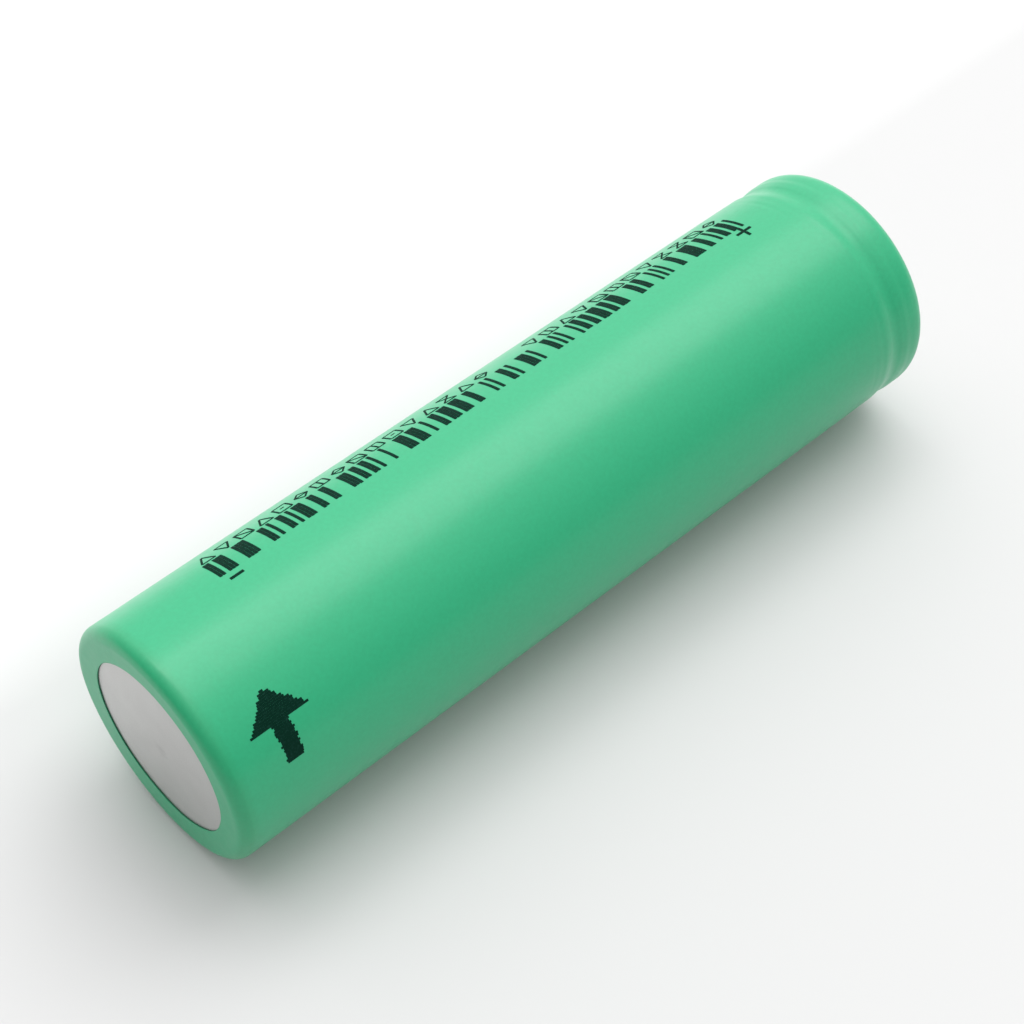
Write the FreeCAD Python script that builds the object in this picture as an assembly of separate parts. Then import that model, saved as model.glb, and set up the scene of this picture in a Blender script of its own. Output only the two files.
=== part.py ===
import FreeCAD, Part
import math
import os

from FreeCAD import Vector

# A cylindrical lithium-ion cell of the 18 mm by 65 mm size, as separate pieces, one STEP file each.
# The cell lies along +X. The origin is the centre of the negative terminal's face, +X points to the
# positive terminal and +Z is up. All sizes are in millimetres and all angles in degrees.

# ---- Driving dimensions -------------------------------------------------------------------------------

SLEEVE_LENGTH = 65.00  # between the flats of the film's two folds
SLEEVE_RADIUS = 9.10
FILM = 0.10  # thickness of the shrunk film
CAP_RISE = 0.12  # the cap stands this far past the film
CAN_WALL = 0.22
CAN_BOTTOM = 0.30
FIT_GAP = 0.01  # room between faces that only rest on each other
LAYER_GAP = 0.005  # room between wound layers

# ---- Negative end -------------------------------------------------------------------------------------

CAN_CORNER = 0.80
FILM_FACE_X = -FILM  # the film lies on the can's flat bottom, which is the negative contact
NEGATIVE_WINDOW = 6.54  # radius of the film's hole round the negative terminal
CONTACT_RADIUS = NEGATIVE_WINDOW - 0.04  # divides the can's flat bottom: bare contact, then under film

# ---- Can wall and bead --------------------------------------------------------------------------------

CAN_RADIUS = SLEEVE_RADIUS - FILM
CAN_BORE = CAN_RADIUS - CAN_WALL
BEAD_X = 61.47  # centre of the rolled bead that carries the header
BEAD_DEPTH = 1.29
BEAD_FLOOR = 0.90
BEAD_MOUTH = 1.50
BEAD_FLOOR_BEND = 0.40
BEAD_MOUTH_BEND = 0.35

# ---- Positive end: film, white ring, crimped rim ------------------------------------------------------

SLEEVE_END = FILM_FACE_X + SLEEVE_LENGTH
CAP_TOP = SLEEVE_END + CAP_RISE
RING_THICKNESS = 0.25
RING_BORE = 5.60
RING_RADIUS = 7.75
RING_X = SLEEVE_END - FILM - FIT_GAP - RING_THICKNESS
CRIMP_TOP = RING_X - FIT_GAP
CRIMP_SHOULDER = 1.10
CRIMP_LIP_RADIUS = 6.50
FILM_SHOULDER = 1.35
POSITIVE_LIP_RADIUS = 7.40  # free edge of the film on the positive end
FILM_DIP = 0.20  # how far the film sinks over the bead
FILM_DIP_RUN = 0.85
FILM_DIP_BEND = 1.40

# ---- Header: discs clamped in a gasket between the bead and the crimped rim ---------------------------

GASKET_FOOT_X = 62.37
GASKET_FOOT = 0.40
GASKET_FOOT_BORE = 6.70
GASKET_LIP_BORE = 6.20
GASKET_RADIUS = CAN_BORE - 0.02
GASKET_EDGE = 0.12
GASKET_FOOT_CORNER = 0.35
STACK_RADIUS = 8.25
STACK_CLEARANCE = 0.05
VENT_X = GASKET_FOOT_X + GASKET_FOOT + FIT_GAP
VENT_SHEET = 0.30
VENT_DISH = 0.54
VENT_DISH_RADII = (4.80, 3.90)
VENT_BEND = 0.45
VENT_BOSS_DROP = 0.22
VENT_BOSS_RADII = (1.50, 1.00)
VENT_BOSS_BEND = 0.25
SCORE_RADIUS = 2.90
SCORE_DEPTH = 0.14
SCORE_HALF_WIDTH = 0.14
SCORE_OVERCUT = 0.05
PTC_X = VENT_X + VENT_SHEET + FIT_GAP
PTC_THICKNESS = 0.30
PTC_BORE = 5.40
FLANGE_X = PTC_X + PTC_THICKNESS + FIT_GAP
CAP_SHEET = 0.35
CROWN_RADIUS = 4.30
CROWN_BEND = 0.45
CAP_WALL_FOOT = 5.00
CAP_FOOT_BEND = 0.40
WINDOW_COUNT = 4
WINDOW_WIDTH = 2.40
WINDOW_HEIGHT = 0.58  # along the axis
WINDOW_LIFT = 0.11  # above the flange
WINDOW_REACH = (3.40, 5.90)
WINDOW_CORNER = 0.20
FIRST_WINDOW = 45.0

# ---- Current interrupt plate and its holder -----------------------------------------------------------

PLATE_THICKNESS = 0.40
PLATE_TOP = VENT_X - VENT_DISH - VENT_BOSS_DROP - FIT_GAP
PLATE_X = PLATE_TOP - PLATE_THICKNESS
PLATE_RADIUS = 6.00
PLATE_HOLES = 6
PLATE_HOLE_RADIUS = 0.60
PLATE_HOLE_CIRCLE = 3.80
PLATE_FIRST_HOLE = 30.0
BREAK_RING = (1.35, 1.70)  # radii of the groove that weakens the plate round its weld
BREAK_WEB = 0.20
HOLDER_RADIUS = 6.60
HOLDER_BORE = 5.10
HOLDER_SLOPE = 0.45
HOLDER_FLOOR = 0.35
HOLDER_EDGE = 0.10
HOLDER_CLEARANCE = 0.02

# ---- Wound electrodes ---------------------------------------------------------------------------------

COLLECTOR = 0.03  # metal foil inside each electrode
COATING = 0.08  # active layer on each side of the foil
SEPARATOR = 0.03
ELECTRODE = COLLECTOR + 2 * COATING
PITCH = 2 * (ELECTRODE + SEPARATOR + 2 * LAYER_GAP)
CORE_RADIUS = 1.75
CATHODE_OFFSET = SEPARATOR + LAYER_GAP
OUTER_SEPARATOR_OFFSET = CATHODE_OFFSET + ELECTRODE + LAYER_GAP
ANODE_OFFSET = OUTER_SEPARATOR_OFFSET + SEPARATOR + LAYER_GAP
SEPARATOR_ENDS = (2.00, 59.40)
ANODE_ENDS = (2.60, 58.80)
CATHODE_ENDS = (3.10, 58.30)
SEPARATOR_TURNS = (0.0, 14.6)
ANODE_TURNS = (0.35, 14.35)
CATHODE_TURNS = (1.4, 13.75)

# ---- Tabs, tapes, discs and pin -----------------------------------------------------------------------

CATHODE_TAB_TURN = 7  # each tab sits a quarter turn after this many whole turns
ANODE_TAB_TURN = 14
TAB_WIDTH = 4.0
TAB_SHEET = 0.075
TAB_MARGIN = 0.6  # bare foil on each side of a tab
TAB_BLEND = 0.8  # length over which a tab flattens beyond the winding
TAB_SETBACK = 4.0  # from the far edge of its electrode
CATHODE_TAB_RISE = 1.6  # the cathode tab stays bent to the winding this far past it
CATHODE_FOLD_X = 60.82
CATHODE_FOLD_BEND = 0.12
CATHODE_RETURN_BEND = 0.30
CATHODE_FOLD_REACH = 3.2
CATHODE_WELD_X = PLATE_X - FIT_GAP - TAB_SHEET / 2
ANODE_TAB_CLEARANCE = 0.05
ANODE_FOLD_RADIUS = 7.60
ANODE_FOLD_BEND = 0.30
ANODE_FOLD_REACH = 2.0
ANODE_WELD_X = CAN_BOTTOM + FIT_GAP + TAB_SHEET / 2
TAPE = 0.05
TAB_TAPE_SPAN = (0.6, 4.2)
END_TAPE_TURNS = (14.38, 14.72)
END_TAPE_ENDS = (5.0, 56.0)
END_DISC = 0.20
END_DISC_RADIUS = 8.60
BOTTOM_DISC_X = 1.55
BOTTOM_DISC_HOLE = 2.0
BOTTOM_DISC_NOTCH = 7.30
TOP_DISC_X = 59.62
TOP_DISC_HOLE = 1.6
SIDE_HOLE_RADIUS = 0.9
SIDE_HOLE_CIRCLE = 5.6
SIDE_HOLE_POSITIONS = 6  # the cathode tab's slot takes the first of these
TOP_DISC_SLOT = (-0.80, 0.35)  # from the tab's middle
SLOT_CLEARANCE = 0.3
PIN_RADIUS = 1.50
PIN_WALL = 0.20
PIN_SLIT = 0.45
PIN_ENDS = (2.40, 59.00)

ORIGIN = Vector(0, 0, 0)
AXIS = Vector(1, 0, 0)
TINY = 1e-6


# ---- Profiles: each point is (x, radius, corner radius) in the XZ plane --------------------------------


def corner_arc(before, corner, after, radius):
    """Start, middle and end of the arc that rounds a corner."""
    back = (before - corner).normalize()
    ahead = (after - corner).normalize()
    half_angle = back.getAngle(ahead) / 2
    reach = radius / math.tan(half_angle)
    centre = corner + (back + ahead).normalize() * (radius / math.sin(half_angle))
    middle = centre + (corner - centre).normalize() * radius
    return corner + back * reach, middle, corner + ahead * reach


def path_edges(points, closed=False):
    """Edges along straight runs whose corners are rounded by their own radii."""
    spots = [Vector(x, 0, r) for x, r, _ in points]
    count = len(points)
    corners = []
    for i, (_, _, radius) in enumerate(points):
        is_end = not closed and i in (0, count - 1)
        if is_end or radius <= 0:
            corners.append((spots[i], None, spots[i]))
        else:
            corners.append(corner_arc(spots[i - 1], spots[i], spots[(i + 1) % count], radius))
    edges = []
    for i, (arrive, middle, leave) in enumerate(corners):
        if middle is not None:
            edges.append(Part.Arc(arrive, middle, leave).toShape())
        if i + 1 < count or closed:
            target = corners[(i + 1) % count][0]
            if (target - leave).Length > TINY:
                edges.append(Part.LineSegment(leave, target).toShape())
    return edges


def shifted(points, distance):
    """The path moved sideways by `distance`, with each corner radius changed to suit."""
    spots = [Vector(x, 0, r) for x, r, _ in points]
    runs = [(b - a).normalize() for a, b in zip(spots, spots[1:])]
    sides = [Vector(-run.z, 0, run.x) for run in runs]
    first = spots[0] + sides[0] * distance
    moved = [(first.x, first.z, 0)]
    for i in range(1, len(points) - 1):
        mitre = (sides[i - 1] + sides[i]).normalize()
        spot = spots[i] + mitre * (distance / mitre.dot(sides[i]))
        turn = runs[i - 1].x * runs[i].z - runs[i - 1].z * runs[i].x
        radius = points[i][2] - distance * math.copysign(1.0, turn)
        moved.append((spot.x, spot.z, max(0.0, radius)))
    last = spots[-1] + sides[-1] * distance
    return moved + [(last.x, last.z, 0)]


def sheet_face(points, thickness):
    """A sheet of even thickness, from the path of its middle."""
    upper = shifted(points, thickness / 2)
    lower = shifted(points, -thickness / 2)
    ends = []
    for a, b in ((upper[0], lower[0]), (upper[-1], lower[-1])):
        ends.append(Part.LineSegment(Vector(a[0], 0, a[1]), Vector(b[0], 0, b[1])).toShape())
    edges = path_edges(upper) + ends + path_edges(lower)
    return Part.Face(Part.Wire(Part.__sortEdges__(edges)))


def turned_sheet(points, thickness):
    """A sheet spun round the cell's axis."""
    return sheet_face(points, thickness).revolve(ORIGIN, AXIS, 360)


def turned_section(points):
    """A ring or disc spun round the cell's axis from its closed section."""
    return Part.Face(Part.Wire(path_edges(points, closed=True))).revolve(ORIGIN, AXIS, 360)


def rod(x0, x1, radius, z=0.0):
    """A cylinder along X."""
    return Part.makeCylinder(radius, x1 - x0, Vector(x0, 0, z), AXIS)


def ring(x0, x1, bore, radius):
    """A flat ring or a tube along X."""
    return rod(x0, x1, radius).cut(rod(x0, x1, bore))


def block(x0, x1, half_width, z0, z1):
    """A box that is centred on the XZ plane."""
    return Part.makeBox(x1 - x0, 2 * half_width, z1 - z0, Vector(x0, -half_width, z0))


def around_axis(shape, count, first_angle):
    """Copies of a shape evenly spaced round the cell's axis."""
    copies = []
    for i in range(count):
        copy = shape.copy()
        copy.rotate(ORIGIN, AXIS, first_angle + i * 360.0 / count)
        copies.append(copy)
    return copies


# ---- Winding: half circles about two centres, so that layers stay parallel and a pitch apart -----------


def winding_point(turns, offset, half_turn):
    """Point of the winding at `turns`, `offset` outside its innermost line."""
    centre = Vector(0, PITCH / 2 * (half_turn % 2), 0)
    radius = CORE_RADIUS + offset + half_turn * PITCH / 2
    angle = 2 * math.pi * turns
    return centre + Vector(0, math.cos(angle), math.sin(angle)) * radius


def winding_arcs(turns, offset):
    """Arcs of the line `offset` outside the innermost one, between two turns."""
    edges = []
    at, end = turns
    while at < end - TINY:
        half_turn = math.floor(at * 2 + TINY)
        stop = min((half_turn + 1) / 2, end)
        spots = [winding_point(t, offset, half_turn) for t in (at, (at + stop) / 2, stop)]
        edges.append(Part.Arc(*spots).toShape())
        at = stop
    return edges


def wound_strip(turns, offset, thickness, ends):
    """A strip wound between two turns and lying between two x positions."""
    inner = winding_arcs(turns, offset)
    outer = winding_arcs(turns, offset + thickness)
    start = Part.LineSegment(inner[0].firstVertex().Point, outer[0].firstVertex().Point).toShape()
    finish = Part.LineSegment(inner[-1].lastVertex().Point, outer[-1].lastVertex().Point).toShape()
    face = Part.Face(Part.Wire(Part.__sortEdges__(inner + [start, finish] + outer)))
    face.translate(AXIS * ends[0])
    return face.extrude(AXIS * (ends[1] - ends[0]))


def tab_radius(turn, electrode_offset):
    """Middle radius of a tab that takes the place of the coating inside an electrode's foil."""
    return CORE_RADIUS + turn * PITCH + electrode_offset + COATING / 2


def bare_turns(turn, radius):
    """The stretch of winding that is left uncoated for a tab."""
    half = (TAB_WIDTH / 2 + TAB_MARGIN) / (2 * math.pi * radius)
    return turn + 0.25 - half, turn + 0.25 + half


def coating(stretches, offset, ends):
    """The active layer on both sides of an electrode's foil."""
    layers = []
    for side in (offset, offset + COATING + COLLECTOR):
        layers += [wound_strip(stretch, side, COATING, ends) for stretch in stretches]
    return Part.makeCompound(layers)


def bent_section(x, radius):
    """Outline across a tab where it is bent to the winding."""
    spread = TAB_WIDTH / 2 / radius
    arcs = []
    for r in (radius - TAB_SHEET / 2, radius + TAB_SHEET / 2):
        spots = [Vector(x, r * math.sin(a), r * math.cos(a)) for a in (-spread, 0, spread)]
        arcs.append(Part.Arc(*spots).toShape())
    sides = []
    for end in (0, -1):
        sides.append(Part.LineSegment(arcs[0].Vertexes[end].Point, arcs[1].Vertexes[end].Point).toShape())
    return Part.Wire(Part.__sortEdges__([arcs[0], sides[1], arcs[1], sides[0]]))


def flat_section(x, radius):
    """Outline across a tab where it is flat."""
    half = TAB_SHEET / 2
    corners = ((-1, -half), (1, -half), (1, half), (-1, half), (-1, -half))
    return Part.makePolygon([Vector(x, side * TAB_WIDTH / 2, radius + rise) for side, rise in corners])


def tab(radius, wound_from, wound_to, folds):
    """A tab: bent to the winding, flattened beyond it, then folded along a path in the XZ plane."""
    wound = Part.Face(bent_section(wound_from, radius)).extrude(AXIS * (wound_to - wound_from))
    blend = Part.makeLoft([bent_section(wound_to, radius), flat_section(folds[0][0], radius)], True, True)
    strip = sheet_face(folds, TAB_SHEET)
    strip.translate(Vector(0, -TAB_WIDTH / 2, 0))
    return wound.fuse([blend, strip.extrude(Vector(0, TAB_WIDTH, 0))]).removeSplitter()


# ---- Outer pieces --------------------------------------------------------------------------------------


def make_can():
    """Deep-drawn steel can with a flat bottom, a rolled bead and a crimped rim."""
    middle = CAN_RADIUS - CAN_WALL / 2
    rim_x = CRIMP_TOP - CAN_WALL / 2
    wall = turned_sheet(
        [
            (CAN_CORNER, middle, 0),
            (BEAD_X - BEAD_MOUTH / 2, middle, BEAD_MOUTH_BEND),
            (BEAD_X - BEAD_FLOOR / 2, middle - BEAD_DEPTH, BEAD_FLOOR_BEND),
            (BEAD_X + BEAD_FLOOR / 2, middle - BEAD_DEPTH, BEAD_FLOOR_BEND),
            (BEAD_X + BEAD_MOUTH / 2, middle, BEAD_MOUTH_BEND),
            (rim_x, middle, CRIMP_SHOULDER - CAN_WALL / 2),
            (rim_x, CRIMP_LIP_RADIUS, 0),
        ],
        CAN_WALL,
    )
    bottom = turned_section(
        [
            (0, 0, 0),
            (0, CONTACT_RADIUS, 0),
            (0, CAN_RADIUS, CAN_CORNER),
            (CAN_CORNER, CAN_RADIUS, 0),
            (CAN_CORNER, CAN_BORE, 0),
            (CAN_BOTTOM, CAN_BORE, CAN_CORNER - CAN_BOTTOM),
            (CAN_BOTTOM, 0, 0),
        ]
    )
    return wall.fuse(bottom)


def make_sleeve():
    """Heat-shrunk film: folded over both ends, with a shallow dip where it bridges the bead."""
    middle = SLEEVE_RADIUS - FILM / 2
    near = FILM_FACE_X + FILM / 2
    far = SLEEVE_END - FILM / 2
    return turned_sheet(
        [
            (near, NEGATIVE_WINDOW, 0),
            (near, middle, CAN_CORNER + FILM / 2),
            (BEAD_X - FILM_DIP_RUN, middle, FILM_DIP_BEND),
            (BEAD_X, middle - FILM_DIP, FILM_DIP_BEND),
            (BEAD_X + FILM_DIP_RUN, middle, FILM_DIP_BEND),
            (far, middle, FILM_SHOULDER - FILM / 2),
            (far, POSITIVE_LIP_RADIUS, 0),
        ],
        FILM,
    )


def make_insulator_ring():
    """White ring between the crimped rim and the film."""
    return ring(RING_X, RING_X + RING_THICKNESS, RING_BORE, RING_RADIUS)


# ---- Header pieces -------------------------------------------------------------------------------------


def make_top_cap():
    """Plated steel cap: a flat crown on a sloping wall with gas windows, and a clamped flange."""
    crown_x = CAP_TOP - CAP_SHEET / 2
    flange_x = FLANGE_X + CAP_SHEET / 2
    cap = turned_sheet(
        [
            (crown_x, 0, 0),
            (crown_x, CROWN_RADIUS, CROWN_BEND),
            (flange_x, CAP_WALL_FOOT, CAP_FOOT_BEND),
            (flange_x, STACK_RADIUS, 0),
        ],
        CAP_SHEET,
    )
    window_x = FLANGE_X + CAP_SHEET + WINDOW_LIFT
    window = block(window_x, window_x + WINDOW_HEIGHT, WINDOW_WIDTH / 2, *WINDOW_REACH)
    long_edges = [e for e in window.Edges if abs(e.tangentAt(e.FirstParameter).z) > 0.5]
    window = window.makeFillet(WINDOW_CORNER, long_edges)
    return cap.cut(around_axis(window, WINDOW_COUNT, FIRST_WINDOW))


def make_ptc_ring():
    """Thermal fuse ring between the cap's flange and the vent disc."""
    return ring(PTC_X, PTC_X + PTC_THICKNESS, PTC_BORE, STACK_RADIUS)


def make_vent_disc():
    """Dished aluminium disc with a burst score, whose boss touches the interrupt plate."""
    flange = VENT_X + VENT_SHEET / 2
    dish = flange - VENT_DISH
    boss = dish - VENT_BOSS_DROP
    disc = turned_sheet(
        [
            (flange, STACK_RADIUS, 0),
            (flange, VENT_DISH_RADII[0], VENT_BEND),
            (dish, VENT_DISH_RADII[1], VENT_BEND),
            (dish, VENT_BOSS_RADII[0], VENT_BOSS_BEND),
            (boss, VENT_BOSS_RADII[1], VENT_BOSS_BEND),
            (boss, 0, 0),
        ],
        VENT_SHEET,
    )
    top = dish + VENT_SHEET / 2
    score = turned_section(
        [
            (top + SCORE_OVERCUT, SCORE_RADIUS - SCORE_HALF_WIDTH, 0),
            (top - SCORE_DEPTH, SCORE_RADIUS, 0),
            (top + SCORE_OVERCUT, SCORE_RADIUS + SCORE_HALF_WIDTH, 0),
        ]
    )
    return disc.cut(score)


def make_interrupt_plate():
    """Perforated aluminium plate that breaks the circuit when the vent disc lifts off it."""
    hole = rod(PLATE_X, PLATE_TOP, PLATE_HOLE_RADIUS, z=PLATE_HOLE_CIRCLE)
    groove = ring(PLATE_X + BREAK_WEB, PLATE_TOP, *BREAK_RING)
    holes = around_axis(hole, PLATE_HOLES, PLATE_FIRST_HOLE)
    return rod(PLATE_X, PLATE_TOP, PLATE_RADIUS).cut(holes + [groove])


def make_plate_holder():
    """Insulating holder that keeps the interrupt plate's rim off the vent disc."""
    bore = PLATE_RADIUS + HOLDER_CLEARANCE
    top = VENT_X - FIT_GAP
    floor = PLATE_TOP + FIT_GAP
    return turned_section(
        [
            (PLATE_X, bore, 0),
            (PLATE_X, HOLDER_RADIUS, HOLDER_EDGE),
            (top, HOLDER_RADIUS, 0),
            (top, HOLDER_BORE + HOLDER_SLOPE, 0),
            (floor + HOLDER_FLOOR, HOLDER_BORE, HOLDER_EDGE),
            (floor, HOLDER_BORE, 0),
            (floor, bore, 0),
        ]
    )


def make_crimp_gasket():
    """Polymer ring that wraps the clamped discs and seals and insulates them from the can."""
    rim = CRIMP_TOP - CAN_WALL - FIT_GAP
    stack_top = FLANGE_X + CAP_SHEET + FIT_GAP
    stack_foot = VENT_X - FIT_GAP
    return turned_section(
        [
            (GASKET_FOOT_X, GASKET_FOOT_BORE, GASKET_EDGE),
            (GASKET_FOOT_X, GASKET_RADIUS, GASKET_FOOT_CORNER),
            (rim, GASKET_RADIUS, CRIMP_SHOULDER - CAN_WALL),
            (rim, GASKET_LIP_BORE, GASKET_EDGE),
            (stack_top, GASKET_LIP_BORE, GASKET_EDGE),
            (stack_top, STACK_RADIUS + STACK_CLEARANCE, 0),
            (stack_foot, STACK_RADIUS + STACK_CLEARANCE, 0),
            (stack_foot, GASKET_FOOT_BORE, GASKET_EDGE),
        ]
    )


# ---- Inner pieces --------------------------------------------------------------------------------------


def make_cathode_tab():
    """Aluminium tab from the cathode's bare foil, folded twice and welded under the interrupt plate."""
    radius = tab_radius(CATHODE_TAB_TURN, CATHODE_OFFSET)
    wound_to = CATHODE_ENDS[1] + CATHODE_TAB_RISE
    folds = [
        (wound_to + TAB_BLEND, radius, 0),
        (CATHODE_FOLD_X, radius, CATHODE_FOLD_BEND),
        (CATHODE_FOLD_X, -CATHODE_FOLD_REACH, CATHODE_RETURN_BEND),
        (CATHODE_WELD_X, -CATHODE_FOLD_REACH, CATHODE_RETURN_BEND),
        (CATHODE_WELD_X, CATHODE_FOLD_REACH, 0),
    ]
    return tab(radius, CATHODE_ENDS[0] + TAB_SETBACK, wound_to, folds)


def make_cathode_tab_tape():
    """Insulating wrap round the folded cathode tab."""
    reach = TAB_SHEET / 2 + FIT_GAP
    side = TAB_WIDTH / 2 + FIT_GAP
    outer = block(CATHODE_FOLD_X - reach - TAPE, CATHODE_FOLD_X + reach + TAPE, side + TAPE, *TAB_TAPE_SPAN)
    return outer.cut(block(CATHODE_FOLD_X - reach, CATHODE_FOLD_X + reach, side, *TAB_TAPE_SPAN))


def make_anode_tab():
    """Nickel tab from the anode's bare foil, folded under the bottom disc and welded to the can."""
    radius = tab_radius(ANODE_TAB_TURN, ANODE_OFFSET)
    wound_to = SEPARATOR_ENDS[0] - ANODE_TAB_CLEARANCE
    folds = [
        (wound_to - TAB_BLEND, radius, 0),
        (ANODE_WELD_X, ANODE_FOLD_RADIUS, ANODE_FOLD_BEND),
        (ANODE_WELD_X, -ANODE_FOLD_REACH, 0),
    ]
    return tab(radius, ANODE_ENDS[1] - TAB_SETBACK, wound_to, folds)


def make_bottom_disc():
    """Insulating disc under the winding, notched for the anode tab and open at its weld."""
    x0 = BOTTOM_DISC_X
    x1 = x0 + END_DISC
    notch = block(x0, x1, TAB_WIDTH / 2 + SLOT_CLEARANCE, BOTTOM_DISC_NOTCH, CAN_RADIUS)
    return ring(x0, x1, BOTTOM_DISC_HOLE, END_DISC_RADIUS).cut(notch)


def make_top_disc():
    """Insulating disc over the winding, with a gas hole, side holes and a slot for the cathode tab."""
    x0 = TOP_DISC_X
    x1 = x0 + END_DISC
    radius = tab_radius(CATHODE_TAB_TURN, CATHODE_OFFSET)
    slot = block(x0, x1, TAB_WIDTH / 2 + SLOT_CLEARANCE, *(radius + edge for edge in TOP_DISC_SLOT))
    side_hole = rod(x0, x1, SIDE_HOLE_RADIUS, z=SIDE_HOLE_CIRCLE)
    side_holes = around_axis(side_hole, SIDE_HOLE_POSITIONS, 0.0)[1:]
    return ring(x0, x1, TOP_DISC_HOLE, END_DISC_RADIUS).cut([slot] + side_holes)


def make_centre_pin():
    """Slit steel tube that keeps the core of the winding open."""
    x0, x1 = PIN_ENDS
    tube = ring(x0, x1, PIN_RADIUS - PIN_WALL, PIN_RADIUS)
    return tube.cut(block(x0, x1, PIN_SLIT / 2, 0, 2 * PIN_RADIUS))


def make_end_tape():
    """Closing tape: over the separator's end, then down onto the anode's last turn."""
    over_offset = OUTER_SEPARATOR_OFFSET + SEPARATOR + LAYER_GAP
    round_can = 2 * math.pi * CAN_BORE
    step = SEPARATOR_TURNS[1] + FIT_GAP / round_can
    step_end = step + TAPE / round_can
    over = wound_strip((END_TAPE_TURNS[0], step_end), over_offset, TAPE, END_TAPE_ENDS)
    down = wound_strip((step, step_end), 0, over_offset + TAPE, END_TAPE_ENDS)
    under = wound_strip((step, END_TAPE_TURNS[1]), 0, TAPE, END_TAPE_ENDS)
    return over.fuse([down, under]).removeSplitter()


def make_electrodes():
    """The wound strips by their node names."""
    cathode_gap = bare_turns(CATHODE_TAB_TURN, tab_radius(CATHODE_TAB_TURN, CATHODE_OFFSET))
    anode_gap = bare_turns(ANODE_TAB_TURN, tab_radius(ANODE_TAB_TURN, ANODE_OFFSET))
    cathode_stretches = [(CATHODE_TURNS[0], cathode_gap[0]), (cathode_gap[1], CATHODE_TURNS[1])]
    anode_stretches = [(ANODE_TURNS[0], anode_gap[0])]
    return {
        "inner_separator": wound_strip(SEPARATOR_TURNS, 0, SEPARATOR, SEPARATOR_ENDS),
        "outer_separator": wound_strip(SEPARATOR_TURNS, OUTER_SEPARATOR_OFFSET, SEPARATOR, SEPARATOR_ENDS),
        "cathode_foil": wound_strip(CATHODE_TURNS, CATHODE_OFFSET + COATING, COLLECTOR, CATHODE_ENDS),
        "cathode_coating": coating(cathode_stretches, CATHODE_OFFSET, CATHODE_ENDS),
        "anode_foil": wound_strip(ANODE_TURNS, ANODE_OFFSET + COATING, COLLECTOR, ANODE_ENDS),
        "anode_coating": coating(anode_stretches, ANODE_OFFSET, ANODE_ENDS),
    }


def make_parts():
    """Every piece of the cell by its node name."""
    return {
        "sleeve": make_sleeve(),
        "insulator_ring": make_insulator_ring(),
        "can": make_can(),
        "top_cap": make_top_cap(),
        "ptc_ring": make_ptc_ring(),
        "vent_disc": make_vent_disc(),
        "interrupt_plate": make_interrupt_plate(),
        "plate_holder": make_plate_holder(),
        "crimp_gasket": make_crimp_gasket(),
        "cathode_tab": make_cathode_tab(),
        "cathode_tab_tape": make_cathode_tab_tape(),
        "anode_tab": make_anode_tab(),
        "bottom_disc": make_bottom_disc(),
        "top_disc": make_top_disc(),
        "centre_pin": make_centre_pin(),
        "end_tape": make_end_tape(),
        **make_electrodes(),
    }


os.makedirs("parts", exist_ok=True)
for name, shape in make_parts().items():
    shape.exportStep(f"parts/{name}.step")
    print(f"{name}: {len(shape.Solids)} solids, {shape.Volume:.2f} mm3, valid {shape.isValid()}")
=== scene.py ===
import math
import random

import bpy
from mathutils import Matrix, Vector, noise


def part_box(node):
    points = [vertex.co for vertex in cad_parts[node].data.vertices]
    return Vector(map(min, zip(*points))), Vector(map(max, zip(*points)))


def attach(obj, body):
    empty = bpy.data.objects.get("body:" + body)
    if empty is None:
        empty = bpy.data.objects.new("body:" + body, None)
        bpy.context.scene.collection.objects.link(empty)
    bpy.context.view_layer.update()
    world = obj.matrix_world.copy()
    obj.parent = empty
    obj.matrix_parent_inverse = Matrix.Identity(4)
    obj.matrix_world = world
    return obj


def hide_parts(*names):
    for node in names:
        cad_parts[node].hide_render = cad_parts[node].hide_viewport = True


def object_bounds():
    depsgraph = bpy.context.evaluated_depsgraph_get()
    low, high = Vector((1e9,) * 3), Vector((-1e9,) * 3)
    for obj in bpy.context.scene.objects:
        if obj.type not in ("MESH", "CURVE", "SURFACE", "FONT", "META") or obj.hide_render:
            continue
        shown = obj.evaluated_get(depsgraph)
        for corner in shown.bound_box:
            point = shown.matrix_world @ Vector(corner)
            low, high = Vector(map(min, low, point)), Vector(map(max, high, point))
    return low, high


# A cylindrical cell in a printed shrink film. The CAD frame gives every place. All lengths below are in
# metres unless a name says otherwise, and an angle round the cell is 0 at the top and grows towards -Y.

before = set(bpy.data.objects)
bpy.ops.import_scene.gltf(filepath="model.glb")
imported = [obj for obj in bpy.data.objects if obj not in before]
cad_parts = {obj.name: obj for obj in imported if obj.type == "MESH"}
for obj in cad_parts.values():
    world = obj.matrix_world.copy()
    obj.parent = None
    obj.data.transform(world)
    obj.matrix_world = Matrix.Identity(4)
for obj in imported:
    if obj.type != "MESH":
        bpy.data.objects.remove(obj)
CAD_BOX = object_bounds()

MM = 0.001
film_low, film_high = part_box("sleeve")
can_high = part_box("can")[1]

# ---- Film ----------------------------------------------------------------------------------------------

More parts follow.
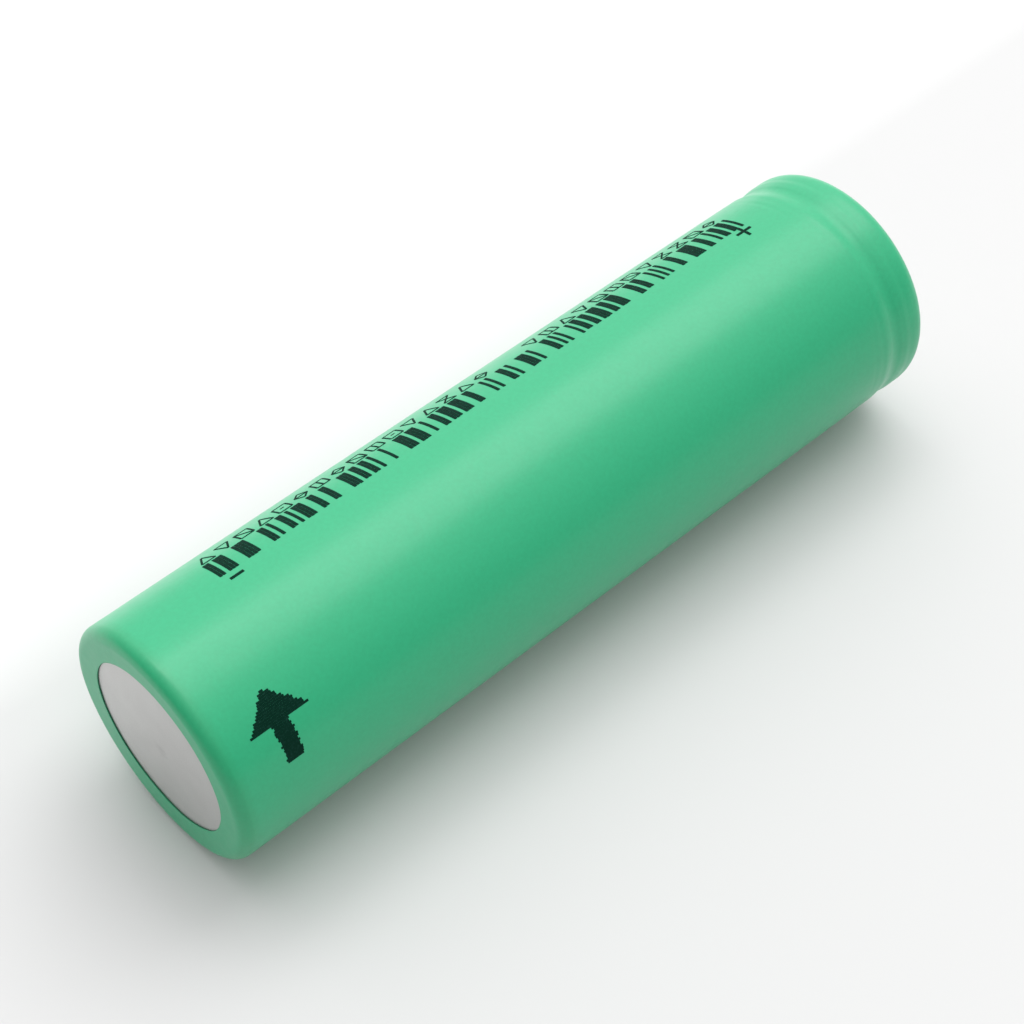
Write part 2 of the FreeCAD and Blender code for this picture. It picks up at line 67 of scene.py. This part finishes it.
FILM_RADIUS = film_high.z
FILM_SHEET = film_high.z - can_high.z
FILM_FACE_X = film_low.x  # outer face of the fold round the negative terminal
FILM_END_X = film_high.x
WINDOW_RADIUS = 6.54 * MM
WINDOW_OFFSET = (-0.17 * MM, 0.41 * MM)  # the cut opening is a little off the axis, in Y and Z
WINDOW_BLEND = 1.30 * MM  # the fold is back to its even shape this far outside the opening
NEAR_CORNER = 0.90 * MM
DIP_X = 61.47 * MM
DIP_RUN = 0.85 * MM
DIP_DEPTH = 0.20 * MM
DIP_BEND = 2.00 * MM
SHOULDER_BEND = 3.00 * MM
FAR_CORNER = 1.35 * MM
FAR_LIP_RADIUS = 7.40 * MM
FINE_STEP = 0.10 * MM
COARSE_STEP = 0.80 * MM
FINE_ENDS = (3.0 * MM, 58.4 * MM)  # the film is sampled coarsely between these
AROUND = 320
INNER_SKIP = 4  # the hidden inner face keeps one ring of points in this many
ARC_STEPS = 14

# Soft rings that shrinking leaves at the near shoulder and beside the bead: place, half width, depth.
SHRINK_RINGS = (
    (2.60, 0.70, 0.010),
    (59.30, 0.22, 0.014),
    (60.05, 0.30, 0.022),
    (60.80, 0.22, 0.014),
    (62.30, 0.24, 0.020),
    (63.00, 0.24, 0.022),
    (63.70, 0.20, 0.016),
)

# Painted shade: round the near corner the film's colour is darkened to stand in for the shade that falls
# there. Span, then (share of it, shade).
CORNER_SHADE_SPAN = (-0.10 * MM, 1.40 * MM)
CORNER_PAINTED_SHADE = (
    (0.00, (1.00, 1.00, 1.00)),
    (0.10, (0.87, 0.89, 0.85)),
    (0.50, (0.85, 0.87, 0.83)),
    (1.00, (1.00, 1.00, 1.00)),
)
RING_DRIFT = 0.10  # the most that a ring wanders along the cell, in mm
RING_SHARES = (0.55, 0.75)  # a ring's usual share of its depth, and how much that varies round the cell
WAVE_DEPTH = 0.008 * MM
PLEAT_DEPTH = 0.016 * MM
EDGE_WOBBLE = 0.05 * MM
FAR_WOBBLE = 0.12 * MM
FAR_BLEND = 0.80 * MM

# ---- Can -----------------------------------------------------------------------------------------------

WORN_SPOT = (0, -0.35 * MM, 0.10 * MM)
WORN_RADIUS = 1.50 * MM

# ---- Print ---------------------------------------------------------------------------------------------

INK_PROUD = 0.007 * MM
INK_ROOT = 0.030 * MM  # how far the ink's underside is sunk in the film
DOT = 0.262 * MM  # one column of dots
DOT_GAP = 0.008 * MM
SCALLOP = 0.012 * MM
STROKE_CAP = 0.30  # how much of a line's rounded end is cut off, as a share of its width
INK_RAGGED = 0.35  # random part of a line's edge, as a share of its scallop
PRINT_SLANT = -0.0055  # the rows climb by this share of their length
BAR_ANGLES = (-30.6, -15.8)
BAR_ENDS = (8.10 * MM, 56.57 * MM)
BAR_WIDTHS = ((1, 2, 3, 4), (4, 4, 2, 1))  # dots, and how often
BAR_GAPS = ((1, 2, 3, 4), (6, 2, 2, 1))
GLYPH_ANGLES = (-39.9, -32.2)
GLYPH_ENDS = (8.30 * MM, 55.60 * MM)
GLYPH_PITCH = 1.62 * MM
GLYPH_WIDTH = 1.08 * MM
GLYPH_STROKE = 0.15 * MM
GLYPH_GAP = (34.0 * MM, 36.6 * MM)
SIGN_STROKE = 0.26 * MM
MINUS = (8.98 * MM, -12.1, 1.10 * MM)
PLUS = (55.93 * MM, -14.2, 1.42 * MM)
ARROW_X = 5.05 * MM
ARROW_ANGLES = (35.5, 68.8)
ARROW_ROW = 0.170 * MM
ARROW_GAP = 0.004 * MM
ARROW_SHAFT = 0.68 * MM
ARROW_HEAD = 2.40 * MM
ARROW_HEAD_SHARE = 0.46
ARROW_TIP = 0.08  # the tip's width as a share of the head's
ARROW_RAGGED = 0.10 * MM
SEED = 384

# ---- Scene ---------------------------------------------------------------------------------------------

LENS = 83.14
VIEW_AZIMUTH = -42.22
VIEW_ELEVATION = 50.51
VIEW_DISTANCE = 168.0 * MM
VIEW_SHIFT = Vector((-1.47, -0.13, -0.90)) * MM

FLOOR_HALF = 4.0  # from the frame's origin to each side
# The floor is painted darker in front of and under the cell as shade, and paler behind it as light.
FLOOR_PAINTED_LIGHT = (0.66, 0.95)  # in front of the cell and behind it
FLOOR_SHADE_SPAN = (0.015, 0.032)
EVEN_LIGHT = 0.38
GLOWS = (((0.46, 0.68, 0.57), 0.92), ((0.30, 0, 0.954), 1.02))
# Softboxes: name, angle round the cell, distance from its axis, place along it, size, radiance.
SOFTBOXES = (
    ("overhead", -7, 0.60, 0.34, (0.46, 0.42), 2.05),
    ("behind", -23, 0.60, 0.08, (0.18, 0.18), 3.0),
)


def fall(t):
    """Smooth step from 0 to 1."""
    t = min(1.0, max(0.0, t))
    return t * t * (3 - 2 * t)


# ---- Film mesh -----------------------------------------------------------------------------------------


def rounded(corners):
    """Points along straight runs with rounded corners; a corner is (x, radius, bend)."""
    spots = [Vector((x, r)) for x, r, _ in corners]
    path = [spots[0]]
    for before, corner, after, (_, _, bend) in zip(spots, spots[1:], spots[2:], corners[1:]):
        back = (before - corner).normalized()
        ahead = (after - corner).normalized()
        half = back.angle(ahead) / 2
        centre = corner + (back + ahead).normalized() * (bend / math.sin(half))
        start = corner + back * (bend / math.tan(half)) - centre
        sweep = start.angle_signed(corner + ahead * (bend / math.tan(half)) - centre)
        for i in range(ARC_STEPS + 1):
            turn = -sweep * i / ARC_STEPS
            c, s = math.cos(turn), math.sin(turn)
            path.append(centre + Vector((start.x * c - start.y * s, start.x * s + start.y * c)))
    return path + [spots[-1]]


def spans(a, b):
    """A run in pieces, each with its step: the long middle of the film is cut coarsely."""
    if (b - a).length < 10 * COARSE_STEP:
        return ((a, b, FINE_STEP),)
    low, high = (Vector((x, a.y)) for x in FINE_ENDS)
    return ((a, low, FINE_STEP), (low, high, COARSE_STEP), (high, b, FINE_STEP))


def divided(path):
    """The same path with long runs cut up."""
    cut = [path[0]]
    for a, b in zip(path, path[1:]):
        for start, stop, step in spans(a, b):
            count = max(1, round((stop - start).length / step))
            cut += [start.lerp(stop, k / count) for k in range(1, count + 1)]
    return cut


def outward(path):
    """Unit normals of a path, pointing away from the cell."""
    normals = []
    for i in range(len(path)):
        run = path[min(i + 1, len(path) - 1)] - path[max(i - 1, 0)]
        normals.append(Vector((-run.y, run.x)).normalized())
    return normals


def sunk(x, angle):
    """How far the film's outer face lies under its nominal shape."""
    c, s = math.cos(angle), math.sin(angle)
    depth = 0.0
    for k, (place, half, deep) in enumerate(SHRINK_RINGS):
        drift = RING_DRIFT * noise.noise(Vector((c * 1.3, s * 1.3, 7.0 * k)))
        around = noise.noise(Vector((c * 1.1, s * 1.1, 3.0 + 5.0 * k)))
        share = RING_SHARES[0] + RING_SHARES[1] * around
        depth += deep * MM * max(0.0, share) * math.exp(-(((x / MM - place - drift) / half) ** 2))
    wave = noise.noise(Vector((x / MM * 0.11, c * 1.7, s * 1.7)))
    return depth + WAVE_DEPTH * 0.5 * (1 + wave)


def film_outline():
    """The film's outer face as a path in (x, r), from the opening to its free edge at the far end."""
    corners = [
        (FILM_FACE_X, WINDOW_RADIUS, 0),
        (FILM_FACE_X, FILM_RADIUS, NEAR_CORNER),
        (DIP_X - DIP_RUN, FILM_RADIUS, SHOULDER_BEND),
        (DIP_X, FILM_RADIUS - DIP_DEPTH, DIP_BEND),
        (DIP_X + DIP_RUN, FILM_RADIUS, SHOULDER_BEND),
        (FILM_END_X, FILM_RADIUS, FAR_CORNER),
        (FILM_END_X, FAR_LIP_RADIUS, 0),
    ]
    return divided(rounded(corners))


def dented(spot, normal, angle):
    """A point of the outer face with the film's rings, waves and far-end pleats."""
    c, s = math.cos(angle), math.sin(angle)
    pleat = 0.5 + 0.5 * noise.noise(Vector((c * 6, s * 6, spot.x / MM * 0.3)))
    at_far = fall((spot.x - FILM_END_X + FAR_CORNER) / FAR_CORNER)
    return spot - normal * (sunk(spot.x, angle) + PLEAT_DEPTH * pleat * at_far)


def strayed(r, angle, near_end):
    """How far the opening, or the free edge at the far end, has strayed in Y and Z."""
    c, s = math.cos(angle), math.sin(angle)
    if near_end:
        share = 1 - max(0.0, r - WINDOW_RADIUS) / WINDOW_BLEND
        wobble = EDGE_WOBBLE * noise.noise(Vector((c * 2.2, s * 2.2, 1.0)))
        shift = WINDOW_OFFSET
    else:
        share = 1 - max(0.0, r - FAR_LIP_RADIUS) / FAR_BLEND
        wobble = FAR_WOBBLE * noise.noise(Vector((c * 2, s * 2, 9.0)))
        shift = (0.0, 0.0)
    share = max(0.0, share)
    return share * (shift[0] - wobble * s), share * (shift[1] + wobble * c)


def film_mesh():
    """The film as one closed shell, and the numbers of the faces along its two cut edges."""
    outer = film_outline()
    normals = outward(outer)
    inner = [(p - n * FILM_SHEET, n, False) for p, n in zip(reversed(outer), reversed(normals))]
    loop = [(p, n, True) for p, n in zip(outer, normals)]
    loop += inner[:-1:INNER_SKIP] + [inner[-1]]
    verts = []
    for i in range(AROUND):
        angle = 2 * math.pi * i / AROUND
        for p, n, is_outer in loop:
            x, r = dented(p, n, angle) if is_outer else p
            y, z = strayed(r, angle, p.x < FILM_END_X / 2)
            verts.append((x, y - r * math.sin(angle), z + r * math.cos(angle)))
    count = len(loop)
    faces = []
    cuts = []
    for i in range(AROUND):
        here, there = i * count, (i + 1) % AROUND * count
        for j in range(count):
            k = (j + 1) % count
            if j in (len(outer) - 1, count - 1):
                cuts.append(len(faces))
            faces.append((here + j, here + k, there + k, there + j))
    return verts, faces, cuts


def add_mesh(name, verts, faces, material, smooth=True):
    """A new piece that rides with the cell."""
    mesh = bpy.data.meshes.new(name)
    mesh.from_pydata(verts, [], faces)
    mesh.validate()
    mesh.polygons.foreach_set("use_smooth", [smooth] * len(mesh.polygons))
    mesh.materials.append(material)
    piece = bpy.data.objects.new(name, mesh)
    bpy.context.scene.collection.objects.link(piece)
    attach(piece, "root")
    return piece


# ---- Print meshes: flat shapes in (x, distance round the film), raised a little above it ----------------


def on_film(x, round_way, height):
    """A point above the film, from its place on the film laid flat."""
    angle = round_way / FILM_RADIUS
    r = FILM_RADIUS + height
    return (x, -r * math.sin(angle), r * math.cos(angle))


def arc(degrees):
    """Distance round the film for an angle."""
    return math.radians(degrees) * FILM_RADIUS


class Print:
    """Collects thin raised shapes into one mesh."""

    def __init__(self):
        self.verts = []
        self.faces = []

    def ribbon(self, left, right):
        """A raised strip between two lines with the same number of points."""
        base = len(self.verts)
        for a, b in zip(left, right):
            for spot, height in ((a, INK_PROUD), (b, INK_PROUD), (b, -INK_ROOT), (a, -INK_ROOT)):
                self.verts.append(on_film(spot[0], spot[1], height))
        for i in range(len(left) - 1):
            p, q = base + 4 * i, base + 4 * i + 4
            for k in range(4):
                m = (k + 1) % 4
                self.faces.append((p + k, q + k, q + m, p + m))
        end = base + 4 * (len(left) - 1)
        self.faces.append((base, base + 1, base + 2, base + 3))
        self.faces.append((end + 3, end + 2, end + 1, end))

    def stroke(self, a, b, width, draw, scallop=SCALLOP):
        """A line of dots from a to b: scalloped sides and rounded ends."""
        a, b = Vector(a), Vector(b)
        run = b - a
        count = max(2, round(run.length / (DOT / 2)) * 4)
        side = Vector((-run.y, run.x)).normalized()
        left, right = [], []
        for i in range(count + 1):
            t = i / count
            from_end = min(t, 1 - t) * run.length
            cap = math.sqrt(min(1.0, (from_end + STROKE_CAP * width) / (0.5 * width)))
            edge = scallop * math.cos(2 * math.pi * t * run.length / (DOT / 2))
            half = cap * (width / 2 + edge)
            left.append(a + run * t + side * (half + draw.uniform(-1, 1) * scallop * INK_RAGGED))
            right.append(a + run * t - side * (half + draw.uniform(-1, 1) * scallop * INK_RAGGED))
        self.ribbon(left, right)


def rhythm(draw, columns):
    """Bars at random, each as its first dot and its width in dots. They encode nothing."""
    places = []
    column = 0
    while column < columns:
        width = min(draw.choices(*BAR_WIDTHS)[0], columns - column)
        places.append((column, width))
        column += width + draw.choices(*BAR_GAPS)[0]
    return places


def bars(draw):
    """The row of bars, each made of one to four columns of dots."""
    ink = Print()
    columns = round((BAR_ENDS[1] - BAR_ENDS[0]) / DOT)
    for first, width in rhythm(draw, columns):
        slip = draw.uniform(-0.15, 0.15) * DOT
        for k in range(first, first + width):
            middle = BAR_ENDS[0] + (k + 0.5) * DOT
            start = arc(BAR_ANGLES[0]) + slip + PRINT_SLANT * middle + draw.uniform(-0.04, 0.04) * DOT
            stop = arc(BAR_ANGLES[1]) + slip + PRINT_SLANT * middle + draw.uniform(-0.10, 0.10) * DOT
            ink.stroke((middle, start), (middle, stop), DOT - DOT_GAP, draw)
    return ink


# Geometric signs on a unit square, as closed chains of points: they are no letters or digits.
SQUARE = ((0, 0), (1, 0), (1, 1), (0, 1), (0, 0))
GLYPHS = (
    (SQUARE, ((0.5, 0), (0.5, 1))),
    (SQUARE, ((0, 0), (1, 1))),
    (((0, 0), (1, 0), (0.5, 1), (0, 0)),),
    (((0, 1), (1, 1), (0.5, 0), (0, 1)),),
    (((0.5, 0), (1, 0.5), (0.5, 1), (0, 0.5), (0.5, 0)), ((0, 0.5), (1, 0.5))),
    (SQUARE, ((0.35, 0.5), (0.65, 0.5))),
    (((0, 0), (1, 0), (0, 1), (1, 1), (0, 0)),),
)


def glyph_row(draw):
    """A row of abstract marks along the bars."""
    ink = Print()
    low, high = (arc(a) for a in GLYPH_ANGLES)
    x = GLYPH_ENDS[0]
    while x < GLYPH_ENDS[1]:
        if not GLYPH_GAP[0] < x < GLYPH_GAP[1]:
            base = low + PRINT_SLANT * x
            for chain in draw.choice(GLYPHS):
                spots = [(x + u * GLYPH_WIDTH, base + v * (high - low)) for u, v in chain]
                for a, b in zip(spots, spots[1:]):
                    ink.stroke(a, b, GLYPH_STROKE, draw)
        x += GLYPH_PITCH
    return ink


def sign(place, crossed, draw):
    """A minus, or a plus when crossed."""
    ink = Print()
    x, angle, size = place
    y = arc(angle)
    ink.stroke((x - size / 2, y), (x + size / 2, y), SIGN_STROKE, draw)
    if crossed:
        for way in (-1, 1):
            near = way * SIGN_STROKE * 0.52
            ink.stroke((x, y + near), (x, y + way * size / 2), SIGN_STROKE, draw)
    return ink


def arrow(draw):
    """A block arrow printed in rows of dots, so its sides are stepped."""
    ink = Print()
    start, stop = (arc(a) for a in ARROW_ANGLES)
    rows = round((stop - start) / ARROW_ROW)
    for i in range(rows):
        share = i / (rows - 1)
        half = ARROW_SHAFT
        if share < ARROW_HEAD_SHARE:
            half = ARROW_HEAD * (ARROW_TIP + (1 - ARROW_TIP) * share / ARROW_HEAD_SHARE)
        ends = [way * half + draw.uniform(-1, 1) * ARROW_RAGGED for way in (-1, 1)]
        y = start + (i + 0.5) * ARROW_ROW
        left, right = ((ARROW_X + end, y) for end in ends)
        ink.stroke(left, right, ARROW_ROW - ARROW_GAP, draw, scallop=ARROW_GAP / 3)
    return ink


# ---- Materials -----------------------------------------------------------------------------------------


class Nodes:
    """A material with a Principled shader and short calls to add nodes."""

    def __init__(self, name):
        self.material = bpy.data.materials.new(name)
        self.material.use_nodes = True
        self.tree = self.material.node_tree
        self.shader = next(n for n in self.tree.nodes if n.type == "BSDF_PRINCIPLED")
        self.place = self.add("ShaderNodeTexCoord").outputs["Object"]

    def add(self, kind, **values):
        node = self.tree.nodes.new(kind)
        for key, value in values.items():
            setattr(node, key, value)
        return node

    def link(self, output, target):
        self.tree.links.new(output, target)

    def stretched(self, scale):
        """Object coordinates times a scale for each axis, in cycles per metre."""
        node = self.add("ShaderNodeMapping")
        node.inputs["Scale"].default_value = scale
        self.link(self.place, node.inputs["Vector"])
        return node.outputs["Vector"]

    def grain(self, scale, detail=3.0, roughness=0.55):
        """Noise whose features are about 1/scale metres across."""
        node = self.add("ShaderNodeTexNoise")
        node.inputs["Scale"].default_value = 1.0
        node.inputs["Detail"].default_value = detail
        node.inputs["Roughness"].default_value = roughness
        self.link(self.stretched(scale if hasattr(scale, "__len__") else (scale,) * 3), node.inputs["Vector"])
        return node.outputs["Fac"]

    def ramp(self, value, stops):
        node = self.add("ShaderNodeValToRGB")
        elements = node.color_ramp.elements
        while len(elements) < len(stops):
            elements.new(0.5)
        for element, (at, colour) in zip(elements, stops):
            element.position = at
            element.color = (*colour, 1.0)
        self.link(value, node.inputs["Fac"])
        return node.outputs["Color"]

    def between(self, value, low, high):
        node = self.add("ShaderNodeMapRange")
        node.inputs["From Min"].default_value = 0.3
        node.inputs["From Max"].default_value = 0.7
        node.inputs["To Min"].default_value = low
        node.inputs["To Max"].default_value = high
        self.link(value, node.inputs["Value"])
        return node.outputs["Result"]

    def along(self, axis, start, stop):
        """0 to 1 between two places along an axis."""
        split = self.add("ShaderNodeSeparateXYZ")
        self.link(self.place, split.inputs["Vector"])
        node = self.add("ShaderNodeMapRange")
        node.inputs["From Min"].default_value = start
        node.inputs["From Max"].default_value = stop
        self.link(split.outputs[axis], node.inputs["Value"])
        return node.outputs["Result"]

    def multiplied(self, one, other):
        node = self.add("ShaderNodeMix", data_type="RGBA", blend_type="MULTIPLY")
        node.inputs["Factor"].default_value = 1.0
        self.link(one, node.inputs["A"])
        self.link(other, node.inputs["B"])
        return node.outputs["Result"]

    def bump(self, heights):
        """Chained bumps: pairs of a height output and its depth in metres."""
        last = None
        for value, depth in heights:
            node = self.add("ShaderNodeBump")
            node.inputs["Strength"].default_value = 1.0
            node.inputs["Distance"].default_value = depth
            self.link(value, node.inputs["Height"])
            if last:
                self.link(last, node.inputs["Normal"])
            last = node.outputs["Normal"]
        self.link(last, self.shader.inputs["Normal"])

    def constants(self, **values):
        for key, value in values.items():
            self.shader.inputs[key.replace("_", " ")].default_value = value


def shade(colour, share):
    """A colour made lighter or darker."""
    return tuple(min(1.0, c * share) for c in colour)


def film_material():
    m = Nodes("green_film")
    green = (0.019, 0.395, 0.182)
    mottle = m.ramp(m.grain(3200, 4.0), ((0.3, shade(green, 0.96)), (0.7, shade(green, 1.04))))
    # Painted shade: the film's colour is darkened round the near corner.
    bend = m.ramp(m.along("X", *CORNER_SHADE_SPAN), CORNER_PAINTED_SHADE)
    m.link(m.multiplied(mottle, bend), m.shader.inputs["Base Color"])
    m.link(m.between(m.grain(900), 0.30, 0.35), m.shader.inputs["Roughness"])
    m.bump(((m.grain((160, 700, 700), 2.0), 0.000004), (m.grain(11000, 2.0), 0.0000012)))
    m.constants(IOR=1.50)
    return m


def cut_edge_shade_material():
    """The film's cut edge, painted dark as the shade of the crevice under the film's lip, and duller than its
    face.
    """
    m = Nodes("cut_edge_painted_shade")
    # Painted shade: these dark greens stand in for the shade in the crevice at the cut edge.
    dark, light = (0.010, 0.110, 0.055), (0.014, 0.140, 0.070)
    m.link(m.ramp(m.grain(4000), ((0.3, dark), (0.7, light))), m.shader.inputs["Base Color"])
    m.link(m.between(m.grain(5000), 0.60, 0.75), m.shader.inputs["Roughness"])
    m.constants(IOR=1.50)
    return m


def ink_material():
    m = Nodes("printed_ink")
    dark = (0.0015, 0.024, 0.014)
    fleck = (0.008, 0.044, 0.032)
    m.link(m.ramp(m.grain(7000, 3.0), ((0.52, dark), (0.74, fleck))), m.shader.inputs["Base Color"])
    m.link(m.between(m.grain(5000), 0.50, 0.72), m.shader.inputs["Roughness"])
    m.bump(((m.grain(8000), 0.000004),))
    m.constants(IOR=1.48, Specular_IOR_Level=0.04)
    return m


def metal(name, colour, rough, stretch, depth=0.0000010):
    """Nodes for rolled or drawn metal: fine stretched grain over faint blotches."""
    m = Nodes(name)
    m.constants(Metallic=1.0)
    fine = m.grain(stretch, 4.0)
    cloud = m.grain(450, 2.0)
    dark, light = shade(colour, 0.975), shade(colour, 1.02)
    m.link(m.ramp(cloud, ((0.3, dark), (0.7, light))), m.shader.inputs["Base Color"])
    m.link(m.between(fine, rough * 0.85, rough * 1.15), m.shader.inputs["Roughness"])
    m.bump(((fine, depth), (cloud, depth)))
    return m


def can_steel():
    """The can's plated steel, faintly rubbed where the winding was welded to the middle of its bottom."""
    m = metal("can_steel", (0.570, 0.564, 0.556), 0.42, (2500, 9000, 9000), 0.0000015)
    away = m.add("ShaderNodeVectorMath", operation="DISTANCE")
    away.inputs[1].default_value = WORN_SPOT
    m.link(m.place, away.inputs[0])
    ragged = m.add("ShaderNodeMath", operation="MULTIPLY_ADD")
    ragged.inputs[1].default_value = 1 / WORN_RADIUS
    m.link(away.outputs["Value"], ragged.inputs[0])
    m.link(m.grain((2500, 1100, 3600), 3.0), ragged.inputs[2])
    worn = m.ramp(ragged.outputs["Value"], ((0.55, (0.88, 0.88, 0.88)), (1.0, (1.0, 1.0, 1.0))))
    colour = m.shader.inputs["Base Color"].links[0].from_socket
    m.link(m.multiplied(colour, worn), m.shader.inputs["Base Color"])
    return m


def polymer(name, colour, rough, scale, depth=0.000002, spread=0.05):
    """Nodes for moulded or die-cut sheet with a fine surface and faint mottling."""
    m = Nodes(name)
    m.link(
        m.ramp(m.grain(scale), ((0.3, shade(colour, 1 - spread)), (0.7, shade(colour, 1 + spread)))),
        m.shader.inputs["Base Color"],
    )
    m.link(m.between(m.grain(scale * 2), rough * 0.9, rough * 1.1), m.shader.inputs["Roughness"])
    m.bump(((m.grain(scale * 3), depth),))
    return m


def dress():
    """Gives each CAD node its material."""
    looks = {
        "can": can_steel(),
        "top_cap": metal("cap_steel", (0.70, 0.69, 0.67), 0.30, 6000),
        "insulator_ring": polymer("white_board", (0.66, 0.66, 0.63), 0.75, 2500),
        "crimp_gasket": polymer("gasket", (0.78, 0.78, 0.74), 0.45, 1800),
        "ptc_ring": polymer("ptc", (0.06, 0.06, 0.065), 0.50, 3000),
        "vent_disc": metal("vent_aluminium", (0.82, 0.82, 0.83), 0.32, (4000, 900, 9000)),
        "interrupt_plate": metal("plate_aluminium", (0.80, 0.80, 0.81), 0.38, (4000, 9000, 900)),
        "plate_holder": polymer("holder", (0.80, 0.80, 0.78), 0.45, 1500),
        "cathode_tab": metal("cathode_tab", (0.82, 0.82, 0.83), 0.30, (900, 9000, 9000)),
        "cathode_tab_tape": polymer("tab_tape", (0.50, 0.27, 0.06), 0.30, 1200),
        "end_tape": polymer("end_tape", (0.50, 0.27, 0.06), 0.28, 1200),
        "anode_tab": metal("anode_tab", (0.66, 0.63, 0.56), 0.30, (900, 9000, 9000)),
        "top_disc": polymer("top_disc", (0.80, 0.78, 0.70), 0.60, 2000),
        "bottom_disc": polymer("bottom_disc", (0.80, 0.78, 0.70), 0.60, 2000),
        "centre_pin": metal("pin_steel", (0.60, 0.60, 0.60), 0.34, (600, 9000, 9000)),
        "inner_separator": polymer("inner_separator", (0.90, 0.90, 0.90), 0.35, 5000, 0.0000008, 0.02),
        "outer_separator": polymer("outer_separator", (0.90, 0.90, 0.90), 0.35, 5000, 0.0000008, 0.02),
        "cathode_foil": metal("cathode_foil", (0.84, 0.84, 0.85), 0.22, (600, 9000, 9000)),
        "anode_foil": metal("anode_foil", (0.72, 0.36, 0.22), 0.25, (600, 9000, 9000)),
        "cathode_coating": polymer("cathode_mix", (0.012, 0.012, 0.013), 0.85, 9000, 0.000004, 0.35),
        "anode_coating": polymer("anode_mix", (0.024, 0.024, 0.026), 0.80, 9000, 0.000004, 0.30),
    }
    for name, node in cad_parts.items():
        if name in looks:
            for slot in node.material_slots:
                slot.material = looks[name].material


# ---- Studio --------------------------------------------------------------------------------------------


def add_floor():
    """A large floor under the cell, painted darker in front and under it as shade and paler behind it as
    light.
    """
    z = CAD_BOX[0].z
    corners = [(a * FLOOR_HALF, b * FLOOR_HALF, z) for a, b in ((-1, -1), (1, -1), (1, 1), (-1, 1))]
    mesh = bpy.data.meshes.new("floor")
    mesh.from_pydata(corners, [], [(0, 1, 2, 3)])
    m = Nodes("floor_painted_shade")
    front, behind = ((white, white, white) for white in FLOOR_PAINTED_LIGHT)
    # Painted shade in front of the cell and painted light behind it, along Y.
    floor_shade_and_light = m.ramp(m.along("Y", *FLOOR_SHADE_SPAN), ((0.0, front), (1.0, behind)))
    speck = m.ramp(m.grain(40), ((0.3, (0.995, 0.995, 0.995)), (0.7, (1.0, 1.0, 1.0))))
    m.link(m.multiplied(floor_shade_and_light, speck), m.shader.inputs["Base Color"])
    m.constants(Roughness=0.95, Specular_IOR_Level=0.0)
    mesh.materials.append(m.material)
    floor = bpy.data.objects.new("floor", mesh)
    bpy.context.scene.collection.objects.link(floor)


def add_softbox(name, centre, aim, size, radiance):
    """A soft rectangular light of even brightness."""
    data = bpy.data.lights.new(name, "AREA")
    data.shape = "RECTANGLE"
    data.size, data.size_y = size
    data.energy = radiance * math.pi * size[0] * size[1]
    lamp = bpy.data.objects.new(name, data)
    lamp.location = centre
    lamp.rotation_mode = "QUATERNION"
    lamp.rotation_quaternion = (Vector(aim) - Vector(centre)).to_track_quat("-Z", "Y")
    bpy.context.scene.collection.objects.link(lamp)


def add_world():
    """Even pale surroundings with two broad glows, one overhead and one from behind."""
    world = bpy.data.worlds.new("studio")
    world.use_nodes = True
    bpy.context.scene.world = world
    tree = world.node_tree
    background = next(n for n in tree.nodes if n.type == "BACKGROUND")
    background.inputs["Color"].default_value = (1, 1, 1, 1)
    place = tree.nodes.new("ShaderNodeTexCoord").outputs["Generated"]
    total = None
    for direction, strength in GLOWS:
        facing = tree.nodes.new("ShaderNodeVectorMath")
        facing.operation = "DOT_PRODUCT"
        facing.inputs[1].default_value = direction
        tree.links.new(place, facing.inputs[0])
        level = facing.outputs["Value"]
        for operation, value in (("MAXIMUM", 0.0), ("POWER", 2.0), ("MULTIPLY", strength)):
            step = tree.nodes.new("ShaderNodeMath")
            step.operation = operation
            step.inputs[1].default_value = value
            tree.links.new(level, step.inputs[0])
            level = step.outputs["Value"]
        add = tree.nodes.new("ShaderNodeMath")
        add.inputs[1].default_value = EVEN_LIGHT
        if total:
            tree.links.new(total, add.inputs[1])
        tree.links.new(level, add.inputs[0])
        total = add.outputs["Value"]
    tree.links.new(total, background.inputs["Strength"])


def add_camera():
    """A camera at the cell's viewing angle."""
    data = bpy.data.cameras.new("camera")
    data.lens = LENS
    data.clip_start = 0.01
    camera = bpy.data.objects.new("camera", data)
    a, e = math.radians(VIEW_AZIMUTH), math.radians(VIEW_ELEVATION)
    back = Vector((math.sin(a) * math.cos(e), -math.cos(a) * math.cos(e), math.sin(e)))
    camera.location = (CAD_BOX[0] + CAD_BOX[1]) / 2 + VIEW_SHIFT + back * VIEW_DISTANCE
    camera.rotation_mode = "QUATERNION"
    camera.rotation_quaternion = (-back).to_track_quat("-Z", "Y")
    bpy.context.scene.collection.objects.link(camera)
    bpy.context.scene.camera = camera


# ---- Build ---------------------------------------------------------------------------------------------

draw = random.Random(SEED)
dress()
verts, faces, cuts = film_mesh()
film = add_mesh("film_sleeve", verts, faces, film_material().material)
# The faces along the cut edges get the painted shade of the crevice under the lip.
film.data.materials.append(cut_edge_shade_material().material)
for i in cuts:
    film.data.polygons[i].material_index = 1
    film.data.polygons[i].use_smooth = False
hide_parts("sleeve")
ink = ink_material().material
for name, shape in (
    ("print_bars", bars(draw)),
    ("print_row", glyph_row(draw)),
    ("print_minus", sign(MINUS, False, draw)),
    ("print_plus", sign(PLUS, True, draw)),
    ("print_arrow", arrow(draw)),
):
    add_mesh(name, shape.verts, shape.faces, ink, smooth=False)

add_floor()
add_world()
for name, degrees, distance, x, size, radiance in SOFTBOXES:
    turn = math.radians(degrees)
    centre = (x, -distance * math.sin(turn), distance * math.cos(turn))
    add_softbox(name, centre, (CAD_BOX[1].x / 2, 0, 0), size, radiance)
add_camera()
bpy.context.scene.view_settings.view_transform = "Standard"

bpy.context.view_layer.update()
